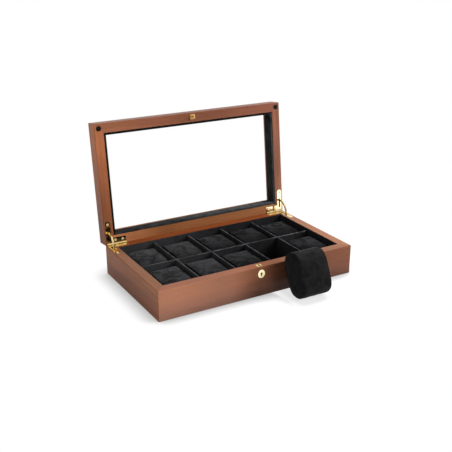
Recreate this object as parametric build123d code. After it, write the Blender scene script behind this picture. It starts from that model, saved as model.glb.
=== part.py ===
"""Glass-topped wooden display box with lift-out cushions, a box lock and quadrant hinges.

Millimetres.  X runs along the front, Y from the front to the back and Z up.  The origin is
the middle of the underside.  The lid stands open against its stays, one compartment is
empty, and the cushion that belongs in it leans against the outside of the front.
"""
import os
from math import asin, cos, degrees, radians, sin, sqrt

from build123d import *

# Wooden box, outside
box_length = 350.0
box_depth = 200.0
base_height = 49.0
lid_height = 25.0
board_thickness = 15.5
closing_gap = 0.6
edge_round = 1.2

# Bottom of the base
rabbet_width = 6.0
base_felt_thickness = 1.0
bottom_panel_thickness = 4.0
floor_card_thickness = 2.0
panel_clearance = 0.1

# Compartments
column_count = 5
lining_thickness = 1.5
lining_drop = 0.3
divider_thickness = 3.2
divider_drop = 3.5
lap_clearance = 0.1

# Cushions
cushion_side_gap = 3.8
cushion_end_gap = 4.0
cushion_floor_gap = 0.3
cushion_top_drop = 1.2
cushion_end_flat = 3.0
cushion_edge = 3.0
loose_column = 4
loose_width = 55.0
loose_thickness = 49.0
loose_end_flat = 3.0
loose_lean = 25.5
loose_shift = 2.2
loose_wall_gap = 0.5
loose_table_gap = 0.2

# Lid
lid_open_angle = 96.3
glass_thickness = 3.0
glass_clearance = 0.5
glass_depth = 17.0
lip_width = 4.0
lip_edge_height = 3.2
bevel_run = 1.8
strip_width = 4.0
strip_set_back = 0.5
bumper_diameter = 8.6
bumper_recess = 1.5
bumper_proud = 0.3

# Quadrant hinges
hinge_inset = 0.8
leaf_thickness = 2.0
leaf_margin = 2.25
leaf_clearance = 0.1
side_leg_width = 9.0
leg_beyond_stay = 19.5
rear_leg_width = 11.0
rear_leg_length = 34.25
knuckle_count = 5
knuckle_radius = 2.6
knuckle_gap = 0.3
barrel_clearance = 0.3
pin_radius = 1.1
pin_running_clearance = 0.05
stay_width = 3.0
stay_thickness = 2.2
stay_head_thickness = 4.4
stay_head_length = 2.2
stay_clearance = 0.35
stay_cover = 2.95
stay_slot_start = 7.0
mortise_depth = 20.5

# Countersunk wood screws
screw_radius = 1.0
screw_head_radius = 2.1
screw_head_height = 1.1
screw_length = 9.0
screw_slot_width = 0.5
screw_slot_depth = 0.5
screw_clearance = 0.05
screw_from_leg_end = 5.5
rear_screw_offset = 15.5
rear_screw_pitch = 13.0

# Box lock
lock_setback = 7.0
lock_front_wall = 3.6
lock_case_length = 26.0
lock_case_height = 22.0
lock_case_drop = 2.8
lock_case_wall = 1.5
lock_cover_thickness = 1.0
lock_neck_length = 8.2
lock_neck_width = 7.0
lock_clearance = 0.1
plate_length = 9.0
plate_width = 7.8
plate_thickness = 1.5
staple_thickness = 1.6
staple_hole_radius = 1.7
staple_wall = 1.0
staple_clearance = 0.4
bolt_drop = 5.4
bolt_height = 2.2
bolt_tongue = 2.4
bolt_length = 10.0
bolt_body_length = 6.0
bolt_travel = 5.0
bolt_clearance = 0.3
key_centre_drop = 5.4
key_chamber_radius = 5.4
key_notch_length = 3.0
key_notch_height = 0.8
key_pin_radius = 0.8
keyhole_radius = 1.7
keyhole_slot_width = 1.8
keyhole_slot_drop = 4.6
keyhole_wood_margin = 0.6
escutcheon_width = 13.0
escutcheon_height = 14.0
escutcheon_thickness = 1.0
escutcheon_drop = 0.4
escutcheon_round = 0.4
rivet_radius = 0.6
rivet_head_radius = 1.0
rivet_head_height = 0.4
rivet_offset = 3.1
plate_rivet_bite = 1.2
strike_pin_bite = 5.0
lock_screw_bite = 2.8
lock_screw_offset = 10.0
lock_screw_rise = 5.0

# Places worked out from the sizes above
front_y = -box_depth / 2
rear_y = box_depth / 2
left_x = -box_length / 2
inner_x = box_length / 2 - board_thickness
inner_y = box_depth / 2 - board_thickness
floor_z = base_felt_thickness + bottom_panel_thickness + floor_card_thickness
lining_top = base_height - lining_drop
divider_top = base_height - divider_drop
hinge_y = rear_y - hinge_inset
hinge_z = base_height + closing_gap / 2
lid_bottom = base_height + closing_gap
lid_top = lid_bottom + lid_height

well_length = 2 * (inner_x - lining_thickness)
well_depth = 2 * (inner_y - lining_thickness)
column_width = (well_length - (column_count - 1) * divider_thickness) / column_count
column_pitch = column_width + divider_thickness
row_depth = (well_depth - divider_thickness) / 2
row_centre = (row_depth + divider_thickness) / 2

cushion_width = column_width - 2 * cushion_side_gap
cushion_length = row_depth - 2 * cushion_end_gap
cushion_thickness = divider_top - floor_z - cushion_floor_gap - cushion_top_drop
cushion_corner = (cushion_thickness - cushion_end_flat) / 2
loose_corner = (loose_thickness - loose_end_flat) / 2

leaf_left = left_x + leaf_margin
stay_x = leaf_left + side_leg_width / 2
stay_radius = lid_top - hinge_z - stay_cover - stay_clearance - stay_width / 2
side_leg_length = stay_radius + leg_beyond_stay
leaf_rear_y = hinge_y - knuckle_radius - barrel_clearance
knuckle_pitch = rear_leg_length / knuckle_count

lock_y = front_y + lock_setback
case_front = front_y + lock_front_wall
case_back = -inner_y - lock_clearance - lock_cover_thickness
case_top = base_height - plate_thickness - lock_case_drop
case_bottom = case_top - lock_case_height
bolt_z = base_height - bolt_drop
bolt_tip = -staple_thickness / 2 - staple_clearance
key_z = bolt_z - key_centre_drop

hinge_axis = Axis((0, hinge_y, hinge_z), (1, 0, 0))


def box_between(low, high):
    """Box between two opposite corners."""
    size = [b - a for a, b in zip(low, high)]
    centre = [(a + b) / 2 for a, b in zip(low, high)]
    return Pos(*centre) * Box(*size)


def rod_x(radius, start, end, y, z):
    """Round rod along X."""
    return Pos((start + end) / 2, y, z) * Rot(0, 90, 0) * Cylinder(radius, end - start)


def rod_y(radius, start, end, x, z):
    """Round rod along Y."""
    return Pos(x, (start + end) / 2, z) * Rot(90, 0, 0) * Cylinder(radius, end - start)


def rod_z(radius, start, end, x, y):
    """Round rod along Z."""
    return Pos(x, y, (start + end) / 2) * Cylinder(radius, end - start)


def opened(shape):
    """Swing a piece of the closed lid back to where the stays stop it."""
    return shape.rotate(hinge_axis, -lid_open_angle)


def mirrored(shape):
    """The same piece on the other side of the box."""
    return mirror(shape, about=Plane.YZ)


def lid_side(shape):
    """Turn a piece let into the base's rim over, into the lid's closed underside."""
    return mirror(shape, about=Plane.XY.offset(hinge_z))


def save(name, *pieces):
    """Write one node, with each of its pieces as a solid of its own."""
    solids = [solid for piece in pieces for solid in piece.solids()]
    shape = solids[0] if len(solids) == 1 else Compound(solids)
    shape.label = name
    export_step(shape, f"parts/{name}.step")


def mitred_sides(ring, length, depth, reach):
    """Cut a rectangular ring into its four sides along 45 degree mitres at the corners."""
    x, y = length / 2, depth / 2
    long_outline = [(-x, -y), (x, -y), (x - reach, reach - y), (reach - x, reach - y)]
    short_outline = [(-x, -y), (reach - x, reach - y), (reach - x, y - reach), (-x, y)]
    long_wedge = extrude(Polygon(*long_outline, align=None), lid_top, both=True)
    short_wedge = extrude(Polygon(*short_outline, align=None), lid_top, both=True)
    return {
        "front": ring & long_wedge,
        "rear": ring & long_wedge.rotate(Axis.Z, 180),
        "left": ring & short_wedge,
        "right": ring & short_wedge.rotate(Axis.Z, 180),
    }


def screw_at(x, y, length=screw_length, grow=0.0):
    """Countersunk slotted screw driven down into the rim, or with growth the hole for it."""
    head_low = base_height - screw_head_height
    shank = rod_z(screw_radius + grow, base_height - length, head_low, x, y)
    cone = Cone(screw_radius + grow, screw_head_radius + grow, screw_head_height)
    screw = shank + Pos(x, y, head_low + screw_head_height / 2) * cone
    if grow:
        return screw
    slot = Pos(x, y, base_height) * Box(
        2 * screw_head_radius, screw_slot_width, 2 * screw_slot_depth
    )
    return screw - slot


def rivet_at(x, y, length):
    """Flat-headed pin driven down into the rim."""
    shank = rod_z(rivet_radius, base_height - length, base_height, x, y)
    return shank + rod_z(rivet_head_radius, base_height - rivet_head_height, base_height, x, y)


def leaf_screw_places():
    """Where the screws of the left hinge stand, as X and Y."""
    rear_row_y = (hinge_y - rear_leg_width + leaf_rear_y) / 2
    first_x = leaf_left + rear_screw_offset
    return [
        (stay_x, hinge_y - side_leg_length + screw_from_leg_end),
        (first_x, rear_row_y),
        (first_x + rear_screw_pitch, rear_row_y),
    ]


def leaf_outline(grow, back_y):
    """L-shaped outline of the left hinge's leaf, with a round end to its side leg."""
    half = side_leg_width / 2 + grow
    tip_y = hinge_y - side_leg_length + side_leg_width / 2
    rear_low = hinge_y - rear_leg_width - grow
    right = leaf_left + rear_leg_length + grow
    left = leaf_left - grow
    side_leg = Pos(stay_x, (tip_y + back_y) / 2) * Rectangle(2 * half, back_y - tip_y)
    side_end = Pos(stay_x, tip_y) * Circle(half)
    rear_leg = Pos((left + right) / 2, (rear_low + back_y) / 2) * Rectangle(
        right - left, back_y - rear_low
    )
    return side_leg + side_end + rear_leg


def knuckle_span(index):
    """X extent of one knuckle of the left hinge's barrel."""
    start = leaf_left + index * knuckle_pitch
    return start + knuckle_gap / 2, start + knuckle_pitch - knuckle_gap / 2


def hinge_leaf(first_knuckle, bore_radius):
    """Leaf let flush into the base's left rear corner, with every second knuckle."""
    low = base_height - leaf_thickness
    leaf = Pos(0, 0, low) * extrude(leaf_outline(0.0, leaf_rear_y), leaf_thickness)
    for index in range(first_knuckle, knuckle_count, 2):
        start, end = knuckle_span(index)
        web_y = leaf_rear_y - leaf_clearance
        leaf += box_between((start, web_y, low), (end, hinge_y, base_height))
        leaf += rod_x(knuckle_radius, start, end, hinge_y, hinge_z)
    leaf -= rod_x(bore_radius, leaf_left, leaf_left + rear_leg_length, hinge_y, hinge_z)
    for x, y in leaf_screw_places():
        leaf -= screw_at(x, y, grow=screw_clearance)
    return leaf - stay_slot(stay_thickness / 2 + stay_clearance, leaf_thickness)


def stay_slot(half_width, depth):
    """Slot below the rim for the left stay, with its round end beyond the stay."""
    reach = stay_radius + stay_width / 2 + half_width
    slot = SlotOverall(reach - stay_slot_start, 2 * half_width, rotation=90)
    centre_y = hinge_y - (reach + stay_slot_start) / 2
    return Pos(stay_x, centre_y, base_height - depth) * extrude(slot, depth)


def hinge_recess():
    """Wood taken out of the base's left rear corner for a leaf, the barrel and the stay."""
    leaf_room = extrude(leaf_outline(leaf_clearance, hinge_y + knuckle_radius), leaf_thickness)
    recess = Pos(0, 0, base_height - leaf_thickness) * leaf_room
    recess += rod_x(
        knuckle_radius + barrel_clearance,
        leaf_left - leaf_clearance,
        leaf_left + rear_leg_length + leaf_clearance,
        hinge_y,
        hinge_z,
    )
    recess += stay_slot(stay_head_thickness / 2 + stay_clearance, mortise_depth)
    for x, y in leaf_screw_places():
        recess += screw_at(x, y, grow=screw_clearance)
    return recess


def stay_band(start, sweep, thickness):
    """Curved bar about the left hinge's axis, with angles from +Y towards +Z."""
    outer = CenterArc((0, 0), stay_radius + stay_width / 2, start, sweep)
    inner = CenterArc((0, 0), stay_radius - stay_width / 2, start, sweep)
    edges = [outer, Line(outer @ 1, inner @ 1), inner, Line(inner @ 0, outer @ 0)]
    bar = extrude(Plane.YZ * make_face(edges), thickness / 2, both=True)
    return Pos(stay_x, hinge_y, hinge_z) * bar


def hinge_stay():
    """Quadrant stay with a wider head below each leaf, which stops the open lid."""
    reach = closing_gap / 2 + leaf_thickness + stay_clearance
    head_start = degrees(asin(reach / (stay_radius - stay_width / 2)))
    head_sweep = degrees(stay_head_length / stay_radius)
    first = 180 - lid_open_angle - head_start - head_sweep
    whole = lid_open_angle + 2 * (head_start + head_sweep)
    stay = stay_band(first, whole, stay_thickness)
    stay += stay_band(first, head_sweep, stay_head_thickness)
    return stay + stay_band(180 + head_start, head_sweep, stay_head_thickness)


def hinge_pin():
    """Pin through the left hinge's barrel."""
    return rod_x(pin_radius, leaf_left, leaf_left + rear_leg_length, hinge_y, hinge_z)


def keyhole(grow, start, end):
    """Keyhole-shaped plug through the front along Y, a round top over a narrow slot."""
    half = keyhole_slot_width / 2 + grow
    slot_low = key_z - keyhole_slot_drop - grow
    slot = box_between((-half, start, slot_low), (half, end, key_z))
    return slot + rod_y(keyhole_radius + grow, start, end, 0, key_z)


def lock_case_room(grow):
    """Room of the lock case and its cover, open towards the inside of the box."""
    half = lock_case_length / 2 + grow
    neck = lock_neck_length / 2 + grow
    neck_front = lock_y - lock_neck_width / 2 - grow
    body = box_between(
        (-half, case_front - grow, case_bottom - grow), (half, case_back, case_top + grow)
    )
    neck_top = base_height - plate_thickness
    return body + box_between((-neck, neck_front, case_top), (neck, case_back, neck_top))


def staple_room(grow, low, high):
    """Upright room of the strike's staple."""
    half_x = staple_thickness / 2 + grow
    half_y = staple_hole_radius + staple_wall + grow
    return box_between((-half_x, lock_y - half_y, low), (half_x, lock_y + half_y, high))


def plate_at_rim(grow=0.0):
    """Small brass plate let flush into the front rim."""
    half_x = plate_length / 2 + grow
    half_y = plate_width / 2 + grow
    low = base_height - plate_thickness
    return box_between((-half_x, lock_y - half_y, low), (half_x, lock_y + half_y, base_height))


def front_rivets(bite):
    """The two flat-headed pins of a plate in the front rim."""
    return [rivet_at(x, lock_y, plate_thickness + bite) for x in (-rivet_offset, rivet_offset)]


def lock_screws(grow=0.0):
    """Screws that hold the lock case against the front board, driven from inside."""
    length = case_back - case_front + lock_cover_thickness + lock_screw_bite
    screws = []
    for x in (-lock_screw_offset, lock_screw_offset):
        upright = screw_at(0, 0, length, grow).moved(Pos(0, 0, -base_height))
        place = Pos(x, case_back + lock_cover_thickness, case_bottom + lock_screw_rise)
        screws.append(place * Rot(-90, 0, 0) * upright)
    return screws


def cut_all(body, cutters):
    """Take every cutter out of a body."""
    for cutter in cutters:
        body -= cutter
    return body


def make_base_boards():
    """Four mitred boards of the base, rabbeted for the bottom panel."""
    shell = Pos(0, 0, base_height / 2) * Box(box_length, box_depth, base_height)
    shell = fillet(shell.edges(), edge_round)
    shell -= box_between((-inner_x, -inner_y, 0), (inner_x, inner_y, base_height))
    rabbet_x, rabbet_y = inner_x + rabbet_width, inner_y + rabbet_width
    rabbet_top = base_felt_thickness + bottom_panel_thickness
    shell -= box_between((-rabbet_x, -rabbet_y, 0), (rabbet_x, rabbet_y, rabbet_top))
    recess = hinge_recess()
    shell = cut_all(shell, [recess, mirrored(recess)])
    sides = mitred_sides(shell, box_length, box_depth, board_thickness)
    lock_room = lock_case_room(lock_clearance)
    lock_room += box_between(
        (-lock_case_length / 2 - lock_clearance, case_back, case_bottom - lock_clearance),
        (lock_case_length / 2 + lock_clearance, -inner_y, case_top + lock_clearance),
    )
    front_cuts = [lock_room, plate_at_rim(leaf_clearance)]
    front_cuts.append(staple_room(staple_clearance, case_top, base_height))
    front_cuts.append(keyhole(keyhole_wood_margin, front_y, case_front))
    front_cuts += lock_screws(screw_clearance)
    sides["front"] = cut_all(sides["front"], front_cuts)
    for name, board in sides.items():
        save(f"base_{name}_board", board)


def make_bottom():
    """Felt, plywood panel and velvet-covered floor card."""
    x = inner_x + rabbet_width - panel_clearance
    y = inner_y + rabbet_width - panel_clearance
    panel_top = base_felt_thickness + bottom_panel_thickness
    save("base_felt", box_between((-x, -y, 0), (x, y, base_felt_thickness)))
    save("bottom_panel", box_between((-x, -y, base_felt_thickness), (x, y, panel_top)))
    card_x, card_y = inner_x - panel_clearance, inner_y - panel_clearance
    card = box_between((-card_x, -card_y, panel_top), (card_x, card_y, floor_z))
    save("floor_lining", card)


def make_linings():
    """Velvet-covered cards against the four walls."""
    side_y = inner_y - lining_thickness
    long_card = box_between((-inner_x, -inner_y, floor_z), (inner_x, -side_y, lining_top))
    side_low = (-inner_x, -side_y, floor_z)
    side_high = (lining_thickness - inner_x, side_y, lining_top)
    side_card = box_between(side_low, side_high)
    save("front_lining", long_card)
    save("rear_lining", mirror(long_card, about=Plane.XZ))
    save("left_lining", side_card)
    save("right_lining", mirrored(side_card))


def make_dividers():
    """Egg-crate dividers, lapped halfway where they cross."""
    half = divider_thickness / 2
    notch = half + lap_clearance
    middle_z = (floor_z + divider_top) / 2
    long_x = well_length / 2 - panel_clearance
    cross_y = well_depth / 2 - panel_clearance
    long_divider = box_between((-long_x, -half, floor_z), (long_x, half, divider_top))
    for index in range(1, column_count):
        x = index * column_pitch - column_count * column_pitch / 2
        long_divider -= box_between((x - notch, -half, middle_z), (x + notch, half, divider_top))
        cross = box_between((x - half, -cross_y, floor_z), (x + half, cross_y, divider_top))
        cross -= box_between((x - half, -notch, floor_z), (x + half, notch, middle_z))
        save(f"cross_divider_{index}", cross)
    save("long_divider", long_divider)


def cushion_pad(width, thickness, corner):
    """Cushion lying along Y about the origin, rounded where a strap goes round it."""
    profile = RectangleRounded(cushion_length, thickness, corner)
    pad = extrude(Plane.YZ * profile, width / 2, both=True)
    ends = pad.faces().sort_by(Axis.X)
    return fillet(ends[0].edges() + ends[-1].edges(), cushion_edge)


def reach_at(rise, radius, lean):
    """How far a leaning pad reaches towards the board, at a height its round edge rises above."""
    if rise > radius * sin(lean):
        return (radius - rise * sin(lean)) / cos(lean)
    return sqrt(radius**2 - max(rise, 0) ** 2)


def make_cushions():
    """Cushions pressed into their compartments, and the fuller loose one outside."""
    seat_z = floor_z + cushion_floor_gap + cushion_thickness / 2
    seated = cushion_pad(cushion_width, cushion_thickness, cushion_corner)
    for row, side in (("front", -1), ("rear", 1)):
        for column in range(1, column_count + 1):
            if row == "front" and column == loose_column:
                continue
            x = (column - (column_count + 1) / 2) * column_pitch
            save(f"cushion_{row}_{column}", Pos(x, side * row_centre, seat_z) * seated)
    lean = radians(loose_lean)
    along = cushion_length / 2 - loose_corner
    across = loose_thickness / 2 - loose_corner
    half_z = along * cos(lean) + across * sin(lean) + loose_corner
    edge_z = loose_table_gap + half_z + along * cos(lean) - across * sin(lean)
    reach = reach_at(edge_z - (base_height - edge_round), loose_corner, lean)
    half_y = along * sin(lean) + across * cos(lean) + reach
    loose_x = (loose_column - (column_count + 1) / 2) * column_pitch + loose_shift
    place = Pos(loose_x, front_y - loose_wall_gap - half_y, loose_table_gap + half_z)
    loose = cushion_pad(loose_width, loose_thickness, loose_corner)
    save("loose_cushion", place * loose.rotate(Axis.X, 90 - loose_lean))


def make_lid_rails():
    """Four mitred rails of the lid, with a bevelled lip over the glass."""
    shell = Pos(0, 0, (lid_bottom + lid_top) / 2) * Box(box_length, box_depth, lid_height)
    shell = fillet(shell.edges(), edge_round)
    lip_bottom = lid_bottom + glass_depth + glass_thickness
    bevel_bottom = lip_bottom + lip_edge_height
    shell -= box_between((-inner_x, -inner_y, lid_bottom), (inner_x, inner_y, lip_bottom))
    open_x, open_y = inner_x - lip_width, inner_y - lip_width
    shell -= box_between((-open_x, -open_y, lip_bottom), (open_x, open_y, bevel_bottom))
    lower = Pos(0, 0, bevel_bottom) * Rectangle(2 * open_x, 2 * open_y)
    upper = Pos(0, 0, lid_top) * Rectangle(2 * (open_x + bevel_run), 2 * (open_y + bevel_run))
    shell -= loft([lower, upper])
    recess = lid_side(hinge_recess())
    shell = cut_all(shell, [recess, mirrored(recess)])
    sides = mitred_sides(shell, box_length, box_depth, board_thickness + lip_width)
    for x, y in bumper_places():
        hole = rod_z(bumper_diameter / 2, lid_bottom, lid_bottom + bumper_recess, x, y)
        sides = {name: side - hole for name, side in sides.items()}
    strike_cuts = [lid_side(plate_at_rim(leaf_clearance))]
    strike_cuts += [lid_side(pin) for pin in front_rivets(strike_pin_bite)]
    sides["front"] = cut_all(sides["front"], strike_cuts)
    for name, rail in sides.items():
        save(f"lid_{name}_rail", opened(rail))


def bumper_places():
    """Middle of the rails at the lid's two front corners, left then right."""
    x = left_x + board_thickness / 2
    return [(x, front_y + board_thickness / 2), (-x, front_y + board_thickness / 2)]


def make_lid_fittings():
    """Glass, its velvet-covered retaining strips and the bumpers."""
    glass_low = lid_bottom + glass_depth
    glass_high = glass_low + glass_thickness
    x, y = inner_x - glass_clearance, inner_y - glass_clearance
    save("lid_glass", opened(box_between((-x, -y, glass_low), (x, y, glass_high))))
    strip_low = lid_bottom + strip_set_back
    ring = box_between((-inner_x, -inner_y, strip_low), (inner_x, inner_y, glass_low))
    gap_x, gap_y = inner_x - strip_width, inner_y - strip_width
    ring -= box_between((-gap_x, -gap_y, strip_low), (gap_x, gap_y, glass_low))
    for name, strip in mitred_sides(ring, 2 * inner_x, 2 * inner_y, strip_width).items():
        save(f"lid_{name}_strip", opened(strip))
    for name, (x, y) in zip(("left", "right"), bumper_places()):
        low = lid_bottom - bumper_proud
        bumper = rod_z(bumper_diameter / 2, low, lid_bottom + bumper_recess, x, y)
        save(f"lid_{name}_bumper", opened(bumper))


def make_hinges():
    """Left and right quadrant hinges with their screws."""
    base_leaf = hinge_leaf(0, pin_radius)
    lid_leaf = lid_side(hinge_leaf(1, pin_radius + pin_running_clearance))
    pieces = {
        "base_leaf": base_leaf,
        "lid_leaf": opened(lid_leaf),
        "hinge_pin": hinge_pin(),
        "stay": hinge_stay(),
    }
    for name, piece in pieces.items():
        save(f"left_{name}", piece)
        save(f"right_{name}", mirrored(piece))
    base_screws = [screw_at(x, y) for x, y in leaf_screw_places()]
    lid_screws = [opened(lid_side(screw)) for screw in base_screws]
    save("base_hinge_screws", *base_screws, *[mirrored(screw) for screw in base_screws])
    save("lid_hinge_screws", *lid_screws, *[mirrored(screw) for screw in lid_screws])


def make_lock():
    """Box lock in the front board, with its plate, bolt, key pin and escutcheon."""
    case = lock_case_room(0.0)
    channel_half = bolt_height / 2 + bolt_clearance
    channel_low = bolt_tip - bolt_length - bolt_clearance
    channel_high = bolt_tip + bolt_travel + bolt_clearance
    case -= box_between(
        (channel_low, lock_y - bolt_tongue / 2 - bolt_clearance, bolt_z - channel_half),
        (channel_high, case_back, bolt_z + channel_half),
    )
    staple_low = bolt_z - staple_hole_radius - staple_wall - staple_clearance
    case -= staple_room(staple_clearance, staple_low, base_height)
    case -= rod_y(key_chamber_radius, case_front + lock_case_wall, case_back, 0, key_z)
    case -= keyhole(0.0, case_front, case_back)
    rivets = front_rivets(plate_rivet_bite)
    case = cut_all(case, rivets)
    cover_low = (-lock_case_length / 2, case_back, case_bottom)
    cover_high = (lock_case_length / 2, case_back + lock_cover_thickness, case_top)
    cover = box_between(cover_low, cover_high)
    screw_room = lock_screws(screw_clearance)
    save("lock_case", cut_all(case, screw_room))
    save("lock_cover", cut_all(cover, screw_room))
    save("lock_screws", *lock_screws())
    plate = plate_at_rim() - staple_room(staple_clearance, case_top, base_height)
    save("lock_plate", cut_all(plate, rivets))
    save("lock_plate_rivets", *rivets)
    save("lock_key_pin", rod_y(key_pin_radius, case_front - lock_case_wall, case_back, 0, key_z))
    save("lock_bolt", bolt_solid())
    save("keyhole_escutcheon", escutcheon_solid())


def bolt_solid():
    """Sliding bolt, drawn back clear of the staple, with a notch for the key below."""
    low, high = bolt_z - bolt_height / 2, bolt_z + bolt_height / 2
    front = lock_y - bolt_tongue / 2
    bolt_end = bolt_tip - bolt_length
    tongue = box_between((bolt_end, front, low), (bolt_tip, front + bolt_tongue, high))
    body_back = case_back - bolt_clearance
    body = box_between((bolt_end, front, low), (bolt_end + bolt_body_length, body_back, high))
    notch_end = bolt_end + bolt_body_length
    notch = box_between(
        (notch_end, front, low),
        (notch_end + key_notch_length, front + bolt_tongue, low + key_notch_height),
    )
    return tongue + body - notch


def escutcheon_solid():
    """Oval keyhole plate on the front face, with a softened edge."""
    centre_z = key_z - escutcheon_drop
    oval = Ellipse(escutcheon_width / 2, escutcheon_height / 2)
    plate = extrude(Plane.XZ * oval, escutcheon_thickness)
    rim = plate.faces().sort_by(Axis.Y)[0].edges()
    plate = fillet(rim, escutcheon_round)
    plate = Pos(0, front_y, centre_z) * plate
    return plate - keyhole(0.0, front_y - escutcheon_thickness, front_y)


def make_strike():
    """Brass plate in the lid's front rail, with the staple that the bolt passes through."""
    low = bolt_z
    eye_radius = staple_hole_radius + staple_wall
    staple = staple_room(0.0, low, lid_bottom + plate_thickness)
    half = staple_thickness / 2
    staple += rod_x(eye_radius, -half, half, lock_y, bolt_z)
    strike = lid_side(plate_at_rim()) + staple
    strike -= rod_x(staple_hole_radius, -half, half, lock_y, bolt_z)
    pins = [lid_side(pin) for pin in front_rivets(strike_pin_bite)]
    save("lid_strike", opened(cut_all(strike, pins)))
    save("lid_strike_pins", *[opened(pin) for pin in pins])


os.makedirs("parts", exist_ok=True)
make_base_boards()
make_bottom()
make_linings()
make_dividers()
make_cushions()
make_lid_rails()
make_lid_fittings()
make_hinges()
make_lock()
make_strike()
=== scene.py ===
"""Dressed model of a glass-topped walnut display box with lift-out velvet cushions.

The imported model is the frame. Its wooden boards, glass, pins, screws and lock get a finish here.
Its stamped brass is copied with the sharp edges eased. Every soft part (cushions, linings,
dividers, strips, felt) is made here. Everything is in metres, X along the front, Y from front to
back, Z up.
"""

from __future__ import annotations

import logging
import math
from contextlib import contextmanager
from dataclasses import dataclass, field
from enum import Enum
from typing import Callable, Iterator, Mapping, Sequence

import bpy
from mathutils import Matrix, Vector

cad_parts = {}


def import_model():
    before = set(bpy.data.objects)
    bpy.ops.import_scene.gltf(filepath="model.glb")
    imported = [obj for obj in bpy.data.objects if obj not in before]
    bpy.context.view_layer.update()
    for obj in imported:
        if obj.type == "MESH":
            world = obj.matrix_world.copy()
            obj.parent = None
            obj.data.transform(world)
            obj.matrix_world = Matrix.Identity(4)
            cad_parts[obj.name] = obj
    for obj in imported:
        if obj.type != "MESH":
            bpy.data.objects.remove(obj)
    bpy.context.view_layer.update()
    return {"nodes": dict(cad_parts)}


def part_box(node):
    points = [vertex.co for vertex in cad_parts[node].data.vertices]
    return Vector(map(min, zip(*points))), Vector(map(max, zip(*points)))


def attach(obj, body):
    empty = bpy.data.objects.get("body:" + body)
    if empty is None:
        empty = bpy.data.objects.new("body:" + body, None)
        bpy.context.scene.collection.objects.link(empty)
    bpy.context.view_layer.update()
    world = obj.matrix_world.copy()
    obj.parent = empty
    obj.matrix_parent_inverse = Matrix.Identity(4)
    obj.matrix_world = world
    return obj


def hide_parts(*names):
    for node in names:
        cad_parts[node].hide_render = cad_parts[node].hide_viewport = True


LOG = logging.getLogger("display_box")

Colour = tuple[float, float, float, float]
Point = tuple[float, float, float]
Pair = tuple[float, float]
Stops = tuple[tuple[float, str], ...]
Socket = bpy.types.NodeSocket
Piece = bpy.types.Object

UNMOVED: Point = (0.0, 0.0, 0.0)
UNSTRETCHED: Point = (1.0, 1.0, 1.0)
TINY = 1e-6
NEAR = 1e-5


def tone(code: str) -> Colour:
    """Turn a written colour into the linear colour a shader takes.

    Args:
        code: six hexadecimal digits, red first.

    Returns:
        Linear red, green, blue and an alpha of one.
    """
    parts = [int(code[place:place + 2], 16) / 255.0 for place in (0, 2, 4)]
    flat = [part / 12.92 if part <= 0.04045 else ((part + 0.055) / 1.055) ** 2.4 for part in parts]
    return (flat[0], flat[1], flat[2], 1.0)


WHITE = tone("FFFFFF")


# ---- shader bench ----


@dataclass(frozen=True)
class Pattern:
    """A noise pattern: repeats per metre, octaves, weight of the finer ones, twist, stretch."""

    scale: float = 1.0
    detail: float = 2.0
    rough: float = 0.5
    twist: float = 0.0
    stretch: Point = UNSTRETCHED


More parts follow.
